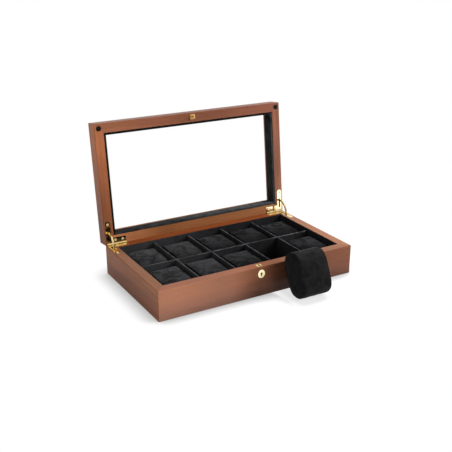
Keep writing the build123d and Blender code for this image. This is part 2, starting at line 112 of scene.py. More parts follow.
class Bench:
    """The node tree of one material or world, with short calls for the nodes it needs."""

    def __init__(self, name: str, world: bool = False) -> None:
        """Start an empty material or world.

        Args:
            name: its name.
            world: whether it is a world.
        """
        self.made = (bpy.data.worlds if world else bpy.data.materials).new(name)
        self.made.use_nodes = True
        self.tree = self.made.node_tree
        self.tree.nodes.clear()
        self.output = self.node("ShaderNodeOutputWorld" if world else "ShaderNodeOutputMaterial")

    def node(
        self, kind: str, inputs: Mapping[str | int, object] | None = None, **settings: object
    ) -> bpy.types.Node:
        """Add a node, set its properties and fill its inputs.

        Args:
            kind: the node's type name.
            inputs: what each input gets, a socket to link or a plain value.
            settings: properties of the node itself.

        Returns:
            The new node.
        """
        made = self.tree.nodes.new(kind)
        for key, value in settings.items():
            setattr(made, key, value)
        for key, value in (inputs or {}).items():
            if isinstance(value, Socket):
                self.tree.links.new(value, made.inputs[key])
            else:
                made.inputs[key].default_value = value
        return made

    def show(self, shader: Socket) -> None:
        """Connect a shader to the output."""
        self.tree.links.new(shader, self.output.inputs["Surface"])

    def place(
        self, turn: Point = UNMOVED, shift: Point = UNMOVED, stretch: Point = UNSTRETCHED
    ) -> Socket:
        """Give object coordinates, turned, shifted and stretched.

        Args:
            turn: rotation of the pattern in degrees.
            shift: offset of the pattern.
            stretch: scale of the pattern on each axis.

        Returns:
            The vector socket.
        """
        turned = [math.radians(angle) for angle in turn]
        vector = self.node("ShaderNodeTexCoord").outputs["Object"]
        for inputs in ({"Rotation": turned, "Location": shift}, {"Scale": stretch}):
            inputs["Vector"] = vector
            vector = self.node("ShaderNodeMapping", inputs, vector_type="POINT").outputs["Vector"]
        return vector

    def part(self, vector: Socket, axis: str) -> Socket:
        """Give one axis of a vector."""
        return self.node("ShaderNodeSeparateXYZ", {"Vector": vector}).outputs[axis]

    def noise(self, pattern: Pattern, turn: Point = UNMOVED, shift: Point = UNMOVED) -> Socket:
        """Add a noise texture.

        Args:
            pattern: the noise.
            turn: rotation of the pattern in degrees.
            shift: offset of the pattern.

        Returns:
            The grey value socket.
        """
        inputs = {
            "Vector": self.place(turn, shift, pattern.stretch),
            "Scale": pattern.scale,
            "Detail": pattern.detail,
            "Roughness": pattern.rough,
            "Distortion": pattern.twist,
        }
        return self.node("ShaderNodeTexNoise", inputs).outputs["Fac"]

    def ramp(self, source: Socket, stops: Stops, smooth: bool = False) -> Socket:
        """Turn a grey value into a colour.

        Args:
            source: the grey value.
            stops: place and colour of each stop, in order.
            smooth: ease between the stops.

        Returns:
            The colour socket.
        """
        made = self.node("ShaderNodeValToRGB", {"Fac": source})
        band = made.color_ramp
        band.interpolation = "EASE" if smooth else "LINEAR"
        for stop, (place, code) in zip(band.elements, (stops[0], stops[-1])):
            stop.position = place
            stop.color = tone(code)
        for place, code in stops[1:-1]:
            band.elements.new(place).color = tone(code)
        return made.outputs["Color"]

    def between(
        self, source: Socket, low: float, high: float, start: float = 0.0, end: float = 1.0
    ) -> Socket:
        """Map a grey value from one range to another.

        Args:
            source: the grey value.
            low: result at the start of the range.
            high: result at its end.
            start: first value of the range.
            end: last value of the range.

        Returns:
            The mapped value.
        """
        inputs = {
            "Value": source, "From Min": start, "From Max": end, "To Min": low, "To Max": high,
        }
        return self.node("ShaderNodeMapRange", inputs).outputs["Result"]

    def blend(
        self, first: Socket, second: Socket | Colour, share: Socket | float, way: str = "MIX"
    ) -> Socket:
        """Lay a share of a second colour over a first and give the result."""
        inputs = {0: share, 6: first, 7: second}
        return self.node("ShaderNodeMix", inputs, data_type="RGBA", blend_type=way).outputs[2]

    def maths(self, way: str, first: Socket | float, second: Socket | float) -> Socket:
        """Combine two grey values by a named operation and give the result."""
        return self.node("ShaderNodeMath", {0: first, 1: second}, operation=way).outputs["Value"]

    def mix(self, share: Socket, first: Socket, second: Socket) -> Socket:
        """Mix a share of a second shader into a first and give the result."""
        return self.node("ShaderNodeMixShader", {0: share, 1: first, 2: second}).outputs["Shader"]

    def upward(self, start: float, end: float) -> Socket:
        """Give a mask that rises from zero to one as the surface turns up from start to end."""
        normal = self.node("ShaderNodeNewGeometry").outputs["Normal"]
        return self.between(self.part(normal, "Z"), 0.0, 1.0, start, end)

    def bump(self, height: Socket, depth: float, strength: float) -> Socket:
        """Turn a grey value into the normal of a relief with full steps of a depth in metres."""
        inputs = {"Height": height, "Distance": depth, "Strength": strength}
        return self.node("ShaderNodeBump", inputs).outputs["Normal"]

    def rays(self, way: str, *kinds: str) -> Socket:
        """Combine the masks of some kinds of rays.

        Args:
            way: the operation.
            kinds: their names.

        Returns:
            The combined mask.
        """
        path = self.node("ShaderNodeLightPath").outputs
        mask, *others = (path[f"Is {kind} Ray"] for kind in kinds)
        for other in others:
            mask = self.maths(way, mask, other)
        return mask

    def surface(self, **inputs: object) -> Socket:
        """Add the Principled shader and connect it to the output.

        Args:
            inputs: what its inputs get, with underscores for spaces.

        Returns:
            The shader socket.
        """
        named = {key.replace("_", " "): value for key, value in inputs.items()}
        shader = self.node("ShaderNodeBsdfPrincipled", named).outputs["BSDF"]
        self.show(shader)
        return shader


# ---- finishes ----


@dataclass(frozen=True)
class Finish:
    """A material that lays out its own shader."""

    name: str

    def shade(self, bench: Bench) -> None:
        """Lay out the shader."""
        raise NotImplementedError

    def material(self) -> bpy.types.Material:
        """Build the material.

        Returns:
            The finished material.
        """
        bench = Bench(self.name)
        self.shade(bench)
        return bench.made

    def dress(self, nodes: Mapping[str, Piece], *names: str) -> None:
        """Give this finish to solids of the frame.

        Args:
            nodes: all solids of the frame.
            names: the solids to finish.
        """
        material = self.material()
        for name in names:
            paint(nodes[name], material)
            LOG.info("%s: %s", name, self.name)


class Run(Enum):
    """Direction in which a board's tone and painted shade change: the axis, its stretch and its
    shift.
    """

    ACROSS = ("X", 1.0 / 0.35, 0.0)
    INWARD = ("Y", 5.0, 0.0)
    UPWARD = ("Z", 5.13, -0.1474)


@dataclass(frozen=True)
class Walnut(Finish):
    """Satin lacquered walnut with its grain along the board, and painted light and shade where
    given.
    """

    turn: Point = UNMOVED
    shift: Point = UNMOVED
    pale: str = "B87248"
    middle: str = "A35F39"
    dark: str = "894B2C"
    pore: str = "552C19"
    gloss: float = 0.26
    # Painted shade: the whole board is multiplied by this colour, darker where a board stands in
    # less light.
    painted_shade_tint: str = "FFFFFF"
    # Painted light and shade along the board, partly its own tone: stops of a slow change from one
    # end, mixed in by the share below.
    along: Stops = ()
    along_share: float = 0.35
    # Painted shade on the upward faces: stops of a slow change along the board, mixed in by the
    # share below.
    cap: Stops = ()
    painted_top_shade_share: float = 0.7
    # Painted shade from the floor up: the board is multiplied by these stops, darker lower down,
    # over a height set by the stretch below.
    foot: Stops = ()
    painted_shade_stretch: float = 20.0
    run: Run = Run.ACROSS
    figure: Pattern = Pattern(1.0, 3.0, 0.55, 0.7, (2.6, 34.0, 34.0))
    fibre: Pattern = Pattern(1.0, 4.0, 0.62, 0.0, (9.0, 330.0, 330.0))
    pores: Pattern = Pattern(1.0, 2.0, 0.5, 0.0, (70.0, 1300.0, 1300.0))
    cloud: Pattern = Pattern(1.0, 2.0, 0.5, 0.0, (5.0, 9.0, 9.0))
    fibre_tones: Stops = ((0.30, "A2978F"), (0.70, "FFFFFF"))
    fibre_share: float = 0.45
    cloud_tones: Stops = ((0.30, "D2C3B8"), (0.70, "FFFFFF"))
    cloud_share: float = 0.7
    wander: Pair = (0.44, 0.56)
    bands: tuple[float, ...] = (0.30, 0.50, 0.72)
    # Range of facing up over which the painted top shade comes in.
    level: Pair = (0.90, 0.99)
    pore_cut: Pair = (0.26, 0.38)
    pore_share: float = 0.55
    roughness: Pair = (0.40, 0.52)
    pore_slope: Pair = (0.25, 0.45)
    fine_share: float = 0.5
    relief: Pair = (0.00006, 0.5)
    coat: Pair = (0.06, 0.18)

    def painted_shade_drift(self, bench: Bench, cloud: Socket, stops: Stops) -> Socket:
        """Give a slow change of tone along the board, from its left, front or lower end: painted
        light and shade, in part the board's own tone.

        Args:
            bench: the material being built.
            cloud: a grey pattern that wanders the change.
            stops: place along the board and tone of each stop.

        Returns:
            The colour of the change.
        """
        axis, stretch, shift = self.run.value
        along = bench.part(bench.place(shift=(shift,) * 3, stretch=(stretch,) * 3), axis)
        spread = bench.maths("ADD", along, bench.between(cloud, *self.wander))
        return bench.ramp(spread, stops, smooth=True)

    def shade(self, bench: Bench) -> None:
        """Lay out broad figure, fine fibres, clouds and short open pores, then any painted light
        and shade.

        Args:
            bench: the empty material.
        """
        figure, fibre, pores, cloud = (
            bench.noise(pattern, self.turn, self.shift)
            for pattern in (self.figure, self.fibre, self.pores, self.cloud)
        )
        broad = tuple(zip(self.bands, (self.dark, self.middle, self.pale)))
        wood = bench.ramp(figure, broad, smooth=True)
        wood = bench.blend(wood, bench.ramp(fibre, self.fibre_tones), self.fibre_share, "MULTIPLY")
        wood = bench.blend(wood, bench.ramp(cloud, self.cloud_tones), self.cloud_share, "MULTIPLY")
        # The tint multiplies painted shade into the whole board.
        bare = wood = bench.blend(wood, tone(self.painted_shade_tint), 1.0, "MULTIPLY")
        # Painted light and shade along the board, in part its own tone.
        if self.along:
            wood = bench.blend(wood, self.painted_shade_drift(bench, cloud, self.along), self.along_share)
        # Painted shade, darker lower down on the board.
        if self.foot:
            rise = bench.part(bench.place(stretch=(1.0, 1.0, self.painted_shade_stretch)), "Z")
            wood = bench.blend(wood, bench.ramp(rise, self.foot, smooth=True), 1.0, "MULTIPLY")
        # Painted shade on the upward faces.
        if self.cap:
            painted_top_shade = bench.blend(bare, self.painted_shade_drift(bench, cloud, self.cap), self.painted_top_shade_share)
            wood = bench.blend(wood, painted_top_shade, bench.upward(*self.level))
        mask = bench.between(pores, self.pore_share, 0.0, *self.pore_cut)
        fine = bench.between(fibre, 0.0, self.fine_share)
        open_pores = bench.between(pores, 0.0, 1.0 - self.fine_share, *self.pore_slope)
        relief = bench.maths("ADD", fine, open_pores)
        bench.surface(
            Base_Color=bench.blend(wood, tone(self.pore), mask),
            Roughness=bench.between(fibre, *self.roughness),
            Normal=bench.bump(relief, *self.relief),
            IOR=1.5,
            Specular_IOR_Level=self.gloss,
            Coat_Weight=self.coat[0],
            Coat_Roughness=self.coat[1],
        )


@dataclass(frozen=True)
class Plywood(Finish):
    """Plain sanded plywood for the hidden bottom panel."""

    name: str = "sanded_plywood"
    figure: Pattern = Pattern(1.0, 4.0, 0.6, 1.2, (3.0, 34.0, 400.0))
    fibre: Pattern = Pattern(1.0, 3.0, 0.6, 0.0, (14.0, 500.0, 500.0))
    figure_tones: Stops = ((0.3, "A98B66"), (0.7, "D2B991"))
    fibre_tones: Stops = ((0.3, "B0B0B0"), (0.7, "FFFFFF"))
    fibre_share: float = 0.5
    roughness: Pair = (0.62, 0.78)
    relief: Pair = (0.00005, 0.5)

    def shade(self, bench: Bench) -> None:
        """Lay out pale wood with broad rotary-cut figure.

        Args:
            bench: the empty material.
        """
        fibre = bench.noise(self.fibre)
        wood = bench.ramp(bench.noise(self.figure), self.figure_tones, smooth=True)
        wood = bench.blend(wood, bench.ramp(fibre, self.fibre_tones), self.fibre_share, "MULTIPLY")
        bench.surface(
            Base_Color=wood,
            Roughness=bench.between(fibre, *self.roughness),
            Normal=bench.bump(fibre, *self.relief),
            Specular_IOR_Level=0.3,
        )


@dataclass(frozen=True)
class Velvet(Finish):
    """Short black pile that lies in patches where it has been stroked.

    Painted light: the pile is lighter where it faces up, lighter towards the high end of a range
    of Y (a painted sheen) and, with a painted light colour added, lighter towards the low end of a
    range of X.
    """

    deep: str = "111112"
    raised: str = "434345"
    shift: Point = UNMOVED
    sheen: float = 0.08
    shine: float = 0.10
    # Painted light: the raised pile is kept in full on faces turned up and in this share on the
    # sides, so the tops read lighter.
    side: float = 0.25
    # Painted sheen: a range of Y over which the pile grows lighter towards the rear, from the
    # least share below.
    painted_sheen_span: Pair = (0.0, 0.0)
    least: float = 0.2
    # Painted light: a colour added to the pile, fading out over a range of X from the left.
    painted_light_tone: str = ""
    painted_light_span: Pair = (-0.12, 0.03)
    patch: Pattern = Pattern(42.0, 4.0, 0.55, 1.6)
    nap: Pattern = Pattern(1500.0, 3.0, 0.7)
    tuft: Pattern = Pattern(330.0, 2.0, 0.6)
    patch_range: tuple[float, ...] = (0.12, 1.0, 0.36, 0.62)
    # Range of facing up over which the painted top light comes in.
    upright: Pair = (0.62, 0.95)
    speckle: Stops = ((0.25, "9A9A9A"), (0.75, "FFFFFF"))
    speckle_share: float = 0.6
    nap_share: float = 0.6
    roughness: Pair = (0.86, 1.0)
    relief: Pair = (0.00018, 0.6)

    def shade(self, bench: Bench) -> None:
        """Lay out dark pile with stroked patches, a fine nap and painted light.

        Args:
            bench: the empty material.
        """
        stroked, nap, tuft = (
            bench.noise(pattern, shift=self.shift) for pattern in (self.patch, self.nap, self.tuft)
        )
        # Painted light: tops lighter than sides.
        facing = bench.between(bench.upward(*self.upright), self.side, 1.0)
        lie = bench.maths("MULTIPLY", bench.between(stroked, *self.patch_range), facing)
        # Painted sheen, lighter towards the rear.
        if self.painted_sheen_span[1] > self.painted_sheen_span[0]:
            painted_sheen = bench.between(bench.part(bench.place(), "Y"), self.least, 1.0, *self.painted_sheen_span)
            lie = bench.maths("MULTIPLY", lie, painted_sheen)
        pile = bench.ramp(lie, ((0.0, self.deep), (1.0, self.raised)))
        # Painted light added towards the left, by a mask falling across X.
        if self.painted_light_tone:
            wear_and_painted_light = bench.between(bench.part(bench.place(), "X"), 1.0, 0.0, *self.painted_light_span)
            paler = bench.ramp(wear_and_painted_light, ((0.0, "000000"), (1.0, self.painted_light_tone)))
            pile = bench.blend(pile, paler, 1.0, "ADD")
        speckle = bench.ramp(nap, self.speckle)
        coarse = bench.between(tuft, 0.0, 1.0 - self.nap_share)
        relief = bench.maths("ADD", bench.between(nap, 0.0, self.nap_share), coarse)
        bench.surface(
            Base_Color=bench.blend(pile, speckle, self.speckle_share, "MULTIPLY"),
            Roughness=bench.between(nap, *self.roughness),
            Normal=bench.bump(relief, *self.relief),
            Specular_IOR_Level=self.shine,
            Sheen_Weight=self.sheen,
            Sheen_Roughness=0.38,
            Sheen_Tint=tone("B9B9BC"),
        )


@dataclass(frozen=True)
class Grained(Finish):
    """A plain material whose tone, roughness and relief follow one noise pattern."""

    grain: Pattern
    tones: Stops
    roughness: Pair
    relief: Pair
    constants: tuple[tuple[str, float], ...] = ()

    def shade(self, bench: Bench) -> None:
        """Lay out the pattern's tone, roughness and relief.

        Args:
            bench: the empty material.
        """
        grain = bench.noise(self.grain)
        bench.surface(
            Base_Color=bench.ramp(grain, self.tones),
            Roughness=bench.between(grain, *self.roughness),
            Normal=bench.bump(grain, *self.relief),
            **dict(self.constants),
        )


FELT = Grained(
    "pressed_felt", Pattern(900.0, 6.0, 0.75, 2.5), ((0.3, "0E0E0F"), (0.75, "262628")),
    (0.9, 1.0), (0.0003, 0.8),
    (("Specular_IOR_Level", 0.1), ("Sheen_Weight", 0.15), ("Sheen_Roughness", 0.6)),
)
STEEL = Grained(
    "plain_steel", Pattern(1.0, 3.0, 0.6, 0.0, (20.0, 1500.0, 1500.0)),
    ((0.3, "A9A9AB"), (0.7, "CFCFD1")), (0.26, 0.40), (0.00002, 0.4), (("Metallic", 1.0),),
)
RUBBER = Grained(
    "black_rubber_finish", Pattern(1800.0, 3.0, 0.6), ((0.3, "0A0909"), (0.7, "131112")),
    (0.48, 0.66), (0.00005, 0.5), (("Specular_IOR_Level", 0.18),),
)


@dataclass(frozen=True)
class Brass(Finish):
    """Golden brass, polished or worn, with faint polishing marks."""

    bright: str = "F7DFA0"
    deep: str = "E3BE74"
    low: float = 0.05
    high: float = 0.12
    metal: float = 1.0
    patch: Pattern = Pattern(160.0, 3.0, 0.55)
    patch_range: Pair = (0.3, 0.7)
    marks: Pattern = Pattern(1400.0, 2.0, 0.5, 0.0, (1.0, 6.0, 1.0))
    relief: Pair = (0.00002, 0.15)

    def shade(self, bench: Bench) -> None:
        """Lay out metal that is slightly deeper and rougher in patches.

        Args:
            bench: the empty material.
        """
        patch = bench.noise(self.patch)
        tones = tuple(zip(self.patch_range, (self.deep, self.bright)))
        bench.surface(
            Base_Color=bench.ramp(patch, tones, smooth=True),
            Roughness=bench.between(patch, self.low, self.high, *self.patch_range),
            Normal=bench.bump(bench.noise(self.marks), *self.relief),
            Metallic=self.metal,
        )


@dataclass(frozen=True)
class Glass(Finish):
    """Clear thin pane: straight through in front, mirroring more at a glancing angle."""

    name: str = "clear_pane"
    falloff: float = 9.0
    smear: Pattern = Pattern(14.0, 3.0, 0.6, 1.0)
    haze: tuple[float, ...] = (0.0, 0.012, 0.4, 0.7)

    def shade(self, bench: Bench) -> None:
        """Lay out clear glass with a faint smear in its gloss.

        Args:
            bench: the empty material.
        """
        rough = bench.between(bench.noise(self.smear), *self.haze)
        mirror = bench.surface(Metallic=1.0, Base_Color=WHITE, Roughness=rough)
        clear = bench.node("ShaderNodeBsdfTransparent").outputs["BSDF"]
        facing = bench.node("ShaderNodeLayerWeight").outputs["Facing"]
        bench.show(bench.mix(bench.maths("POWER", facing, self.falloff), clear, mirror))


# ---- modelling ----


class Part(Enum):
    """Parts of a mesh that edit mode picks."""

    POINT = (True, False, False)
    EDGE = (False, True, False)
    FACE = (False, False, True)


def clear_hands() -> None:
    """Leave edit mode and deselect every object."""
    if bpy.context.object is not None and bpy.context.object.mode != "OBJECT":
        bpy.ops.object.mode_set(mode="OBJECT")
    bpy.ops.object.select_all(action="DESELECT")


def take(piece: Piece) -> None:
    """Select one object alone and make it active.

    Args:
        piece: the object.
    """
    clear_hands()
    piece.select_set(True)
    bpy.context.view_layer.objects.active = piece


def settle(piece: Piece) -> None:
    """Put an object's place, turn and scale into its mesh."""
    take(piece)
    bpy.ops.object.transform_apply(location=True, rotation=True, scale=True)


def put(piece: Piece, matrix: Matrix) -> None:
    """Move an object by a matrix and put its place in its mesh."""
    piece.matrix_world = matrix @ piece.matrix_world
    settle(piece)


@contextmanager
def editing(piece: Piece, part: Part, action: str = "SELECT") -> Iterator[None]:
    """Hold an object in edit mode.

    Args:
        piece: the object to edit.
        part: what is picked.
        action: whether all or nothing is selected first.
    """
    take(piece)
    bpy.ops.object.mode_set(mode="EDIT")
    bpy.context.tool_settings.mesh_select_mode = part.value
    bpy.ops.mesh.select_all(action=action)
    yield
    bpy.ops.object.mode_set(mode="OBJECT")


@contextmanager
def picking(
    piece: Piece, part: Part, wanted: Callable[[Vector, Vector], bool]
) -> Iterator[None]:
    """Hold an object in edit mode with only the wanted edges or faces selected.

    Args:
        piece: the object to edit.
        part: edges or faces.
        wanted: tells from an edge's two ends, or a face's centre and normal, whether it is wanted.
    """
    with editing(piece, part, "DESELECT"):
        pass
    mesh = piece.data
    if part is Part.FACE:
        for face in mesh.polygons:
            face.select = wanted(face.center, face.normal)
    else:
        for edge in mesh.edges:
            edge.select = wanted(*(mesh.vertices[index].co for index in edge.vertices))
    bpy.ops.object.mode_set(mode="EDIT")
    yield
    bpy.ops.object.mode_set(mode="OBJECT")


def bevel(
    piece: Piece, wanted: Callable[[Vector, Vector], bool], width: float, steps: int
) -> None:
    """Bevel the edges whose two ends are wanted, with a width and a number of steps."""
    with picking(piece, Part.EDGE, wanted):
        bpy.ops.mesh.bevel(offset=width, offset_type="OFFSET", segments=steps, profile=0.5)


def finish_with(piece: Piece, kind: str, **settings: object) -> None:
    """Add a modifier and apply it.

    Args:
        piece: the object to change.
        kind: the modifier's type.
        settings: the modifier's properties.
    """
    take(piece)
    made = piece.modifiers.new("step", kind)
    for key, value in settings.items():
        setattr(made, key, value)
    bpy.ops.object.modifier_apply(modifier=made.name)


def smooth(piece: Piece, angle: float = 50.0) -> None:
    """Shade a piece smooth except across edges sharper than an angle in degrees."""
    take(piece)
    bpy.ops.object.shade_smooth_by_angle(angle=math.radians(angle))


def block(name: str, low: Sequence[float], high: Sequence[float]) -> Piece:
    """Add a block between two corners.

    Args:
        name: name of the piece.
        low: lowest corner.
        high: highest corner.

    Returns:
        The block, with its place in its mesh.
    """
    clear_hands()
    bpy.ops.mesh.primitive_cube_add(size=1.0, location=middle_of(low, high))
    piece = bpy.context.object
    piece.name = piece.data.name = name
    piece.scale = [b - a for a, b in zip(low, high)]
    settle(piece)
    return piece


def middle_of(low: Sequence[float], high: Sequence[float]) -> Vector:
    """Give the point halfway between two corners."""
    return Vector([(a + b) / 2.0 for a, b in zip(low, high)])


def copy_of(piece: Piece, name: str) -> Piece:
    """Copy an object with a mesh of its own.

    Args:
        piece: the object to copy.
        name: name of the copy.

    Returns:
        The copy.
    """
    twin = piece.copy()
    twin.data = piece.data.copy()
    twin.name = twin.data.name = name
    bpy.context.scene.collection.objects.link(twin)
    return twin


def ripple(piece: Piece, size: float, depth: float, **settings: object) -> None:
    """Displace a surface by soft clouds.

    Args:
        piece: the object to change.
        size: size of the clouds.
        depth: how far they reach in all.
        settings: the modifier's further properties.
    """
    clouds = bpy.data.textures.new(piece.name, "CLOUDS")
    clouds.noise_scale = size
    clouds.noise_depth = 2
    settings.update(texture=clouds, texture_coords="LOCAL", strength=depth, mid_level=0.5)
    finish_with(piece, "DISPLACE", **settings)


def even_out(piece: Piece, voxel: float, rounds: int) -> None:
    """Give a piece an even mesh and soften it."""
    finish_with(piece, "REMESH", mode="VOXEL", voxel_size=voxel, use_smooth_shade=True)
    finish_with(piece, "SMOOTH", factor=0.5, iterations=rounds)


def paint(piece: Piece, material: bpy.types.Material) -> None:
    """Give an object one material.

    Args:
        piece: the object.
        material: the material.
    """
    if piece.material_slots:
        piece.material_slots[0].material = material
    else:
        piece.data.materials.append(material)


def hand_over(
    piece: Piece, material: bpy.types.Material, body: str, node: str
) -> None:
    """Finish a new piece: its material, what it rides on and what it stands for.

    Args:
        piece: the finished object.
        material: its material.
        body: the body it moves with.
        node: the solid it stands for.
    """
    paint(piece, material)
    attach(piece, body)
    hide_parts(node)
    LOG.info(piece.name)


# ---- sub-assemblies ----


class Side(Enum):
    """The two ends of the box."""

    LEFT = "left"
    RIGHT = "right"


@dataclass
class Hood:
    """The lid's place: how far it stands open, and about which line."""

    hinge_y: float = 0.0992
    hinge_z: float = 0.0493
    angle: float = 96.3
    underside: float = 0.0496

    def opened(self) -> Matrix:
        """Give the turn about the hinge line that opens a closed lid.

        Returns:
            The matrix.
        """
        pivot = Vector((0.0, self.hinge_y, self.hinge_z))
        turn = Matrix.Rotation(math.radians(-self.angle), 4, "X")
        return Matrix.Translation(pivot) @ turn @ Matrix.Translation(-pivot)


@dataclass
class Case:
    """The wooden base: four boards, the bottom panel and the felt under it."""

    nodes: Mapping[str, Piece]
    felt_round: float = 0.004
    felt_edge: float = 0.0004
    felt_steps: tuple[int, int] = (5, 2)
    # The front board's stops: its tone along it, lighter at the left, partly its own tone and
    # partly painted light, with a near-black painted shadow of the leaning cushion from 0.61 to
    # 0.72; painted shade darker lower down; and painted shade on its top face, changing along it.
    front_tone_and_painted_shadow: Stops = (
        (0.05, "B27A5E"), (0.32, "97674F"), (0.47, "72462F"), (0.53, "794930"),
        (0.61, "050201"), (0.72, "050201"), (0.84, "623925"),
    )
    front_painted_low_shade: Stops = ((0.08, "D4DEF0"), (0.36, "ECEFFC"), (0.62, "FFFFFF"))
    # Painted shade over the left and right boards below their top edge.
    left_painted_shade: Stops = ((0.0, "EAEFE2"), (0.94, "EAEFE2"), (0.98, "FFFFFF"))
    right_painted_shade: Stops = ((0.0, "C8C8C8"), (0.94, "D4D4D4"), (0.98, "F4F4FF"))
    front_top_painted_shade: Stops = (
        (0.05, "975D43"), (0.20, "895740"), (0.38, "8C573E"), (0.47, "7F4B2C"),
        (0.62, "673C24"), (0.80, "63422C"), (0.93, "694731"),
    )
    # Painted shade on the top faces of the left and right boards.
    left_top_painted_shade: Stops = ((0.0, "815B41"), (1.0, "815B41"))
    right_top_painted_shade: Stops = ((0.0, "805439"), (0.4, "7C533A"), (0.9, "6A4E3A"))

    def dress_boards(self) -> None:
        """Give each board walnut with its grain along it; the four walls also get painted light
        and shade.
        """
        sideways = (0.0, 0.0, 90.0)
        Walnut(
            "walnut_base_front", shift=(0.31, 0.0, 0.12),
            along=self.front_tone_and_painted_shadow, along_share=0.7, cap=self.front_top_painted_shade, foot=self.front_painted_low_shade,
        ).dress(self.nodes, "base_front_board")
        # The rear board's tint is painted shade, darker and warmer.
        Walnut(
            "walnut_base_rear", shift=(0.77, 0.4, 0.5), gloss=0.15, painted_shade_tint="CEBCA0",
        ).dress(self.nodes, "base_rear_board")
        Walnut(
            "walnut_base_left", sideways, shift=(1.3, 0.2, 0.7), gloss=0.12,
            foot=self.left_painted_shade, cap=self.left_top_painted_shade,
        ).dress(self.nodes, "base_left_board")
        Walnut(
            "walnut_base_right", sideways, shift=(2.1, 0.9, 0.3),
            foot=self.right_painted_shade, cap=self.right_top_painted_shade, run=Run.INWARD,
        ).dress(self.nodes, "base_right_board")
        Plywood().dress(self.nodes, "bottom_panel")

    def make_felt(self) -> None:
        """Make the felt that the box stands on, with softly rounded edges."""
        low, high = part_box("base_felt")
        foot = low[2] + TINY
        first, second = self.felt_steps
        piece = block("felt_underlay", low, high)
        bevel(piece, lambda a, b: abs(a.z - b.z) > TINY, self.felt_round, first)
        bevel(piece, lambda a, b: max(a.z, b.z) < foot, self.felt_edge, second)
        smooth(piece)
        hand_over(piece, FELT.material(), "base", "base_felt")

    def build(self) -> None:
        """Build the whole case."""
        self.dress_boards()
        self.make_felt()


@dataclass
class Lining:
    """Velvet-covered cards round and between the compartments, and the velvet floor."""

    card_round: float = 0.0006
    divider_round: float = 0.0017
    fold_steps: int = 4
    floor_wave: float = 0.0003
    floor_cuts: int = 40
    ripple_size: float = 0.03

    def card(self, node: str, material: bpy.types.Material, rounding: float) -> None:
        """Cover one upright card: its top edges are rounded by the velvet folded over them.

        Args:
            node: the solid it stands for.
            material: its velvet.
            rounding: radius of the folded top edge.
        """
        low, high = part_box(node)
        piece = block("velvet_" + node, low, high)
        bevel(piece, lambda a, b: min(a.z, b.z) > high[2] - NEAR, rounding, self.fold_steps)
        smooth(piece)
        hand_over(piece, material, "base", node)

    def floor(self, material: bpy.types.Material) -> None:
        """Lay the velvet floor, slightly uneven over its card.

        Args:
            material: its velvet.
        """
        low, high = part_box("floor_lining")
        level = high[2] - self.floor_wave
        piece = block("velvet_floor", low, (high[0], high[1], level))
        with picking(piece, Part.FACE, lambda centre, normal: centre.z > level - NEAR):
            bpy.ops.mesh.subdivide(number_cuts=self.floor_cuts)
        top = [point.index for point in piece.data.vertices if point.co.z > level - NEAR]
        piece.vertex_groups.new(name="top").add(top, 1.0, "REPLACE")
        ripple(piece, self.ripple_size, self.floor_wave, direction="Z", vertex_group="top")
        smooth(piece)
        hand_over(piece, material, "base", "floor_lining")

    def build(self) -> None:
        """Build the linings, dividers and floor."""
        # Painted light on the linings: a colour added towards the left, and the sides keep most of
        # the top's pile.
        wall = Velvet(
            "velvet_lining", deep="1A1A1B", raised="262628", sheen=0.05, side=0.7, painted_light_tone="29292A",
        ).material()
        # Painted highlight on the divider tops: a much lighter raised pile that the sides keep
        # only a tenth of, with painted light added towards the left.
        divider_velvet_painted_top = Velvet(
            "velvet_divider", deep="1C1C1D", raised="58585B", side=0.1, painted_light_tone="262627",
        ).material()
        for node in ("front_lining", "rear_lining", "left_lining", "right_lining"):
            self.card(node, wall, self.card_round)
        self.card("long_divider", divider_velvet_painted_top, self.divider_round)
        for number in range(1, 5):
            self.card(f"cross_divider_{number}", divider_velvet_painted_top, self.divider_round)
        self.floor(wall)


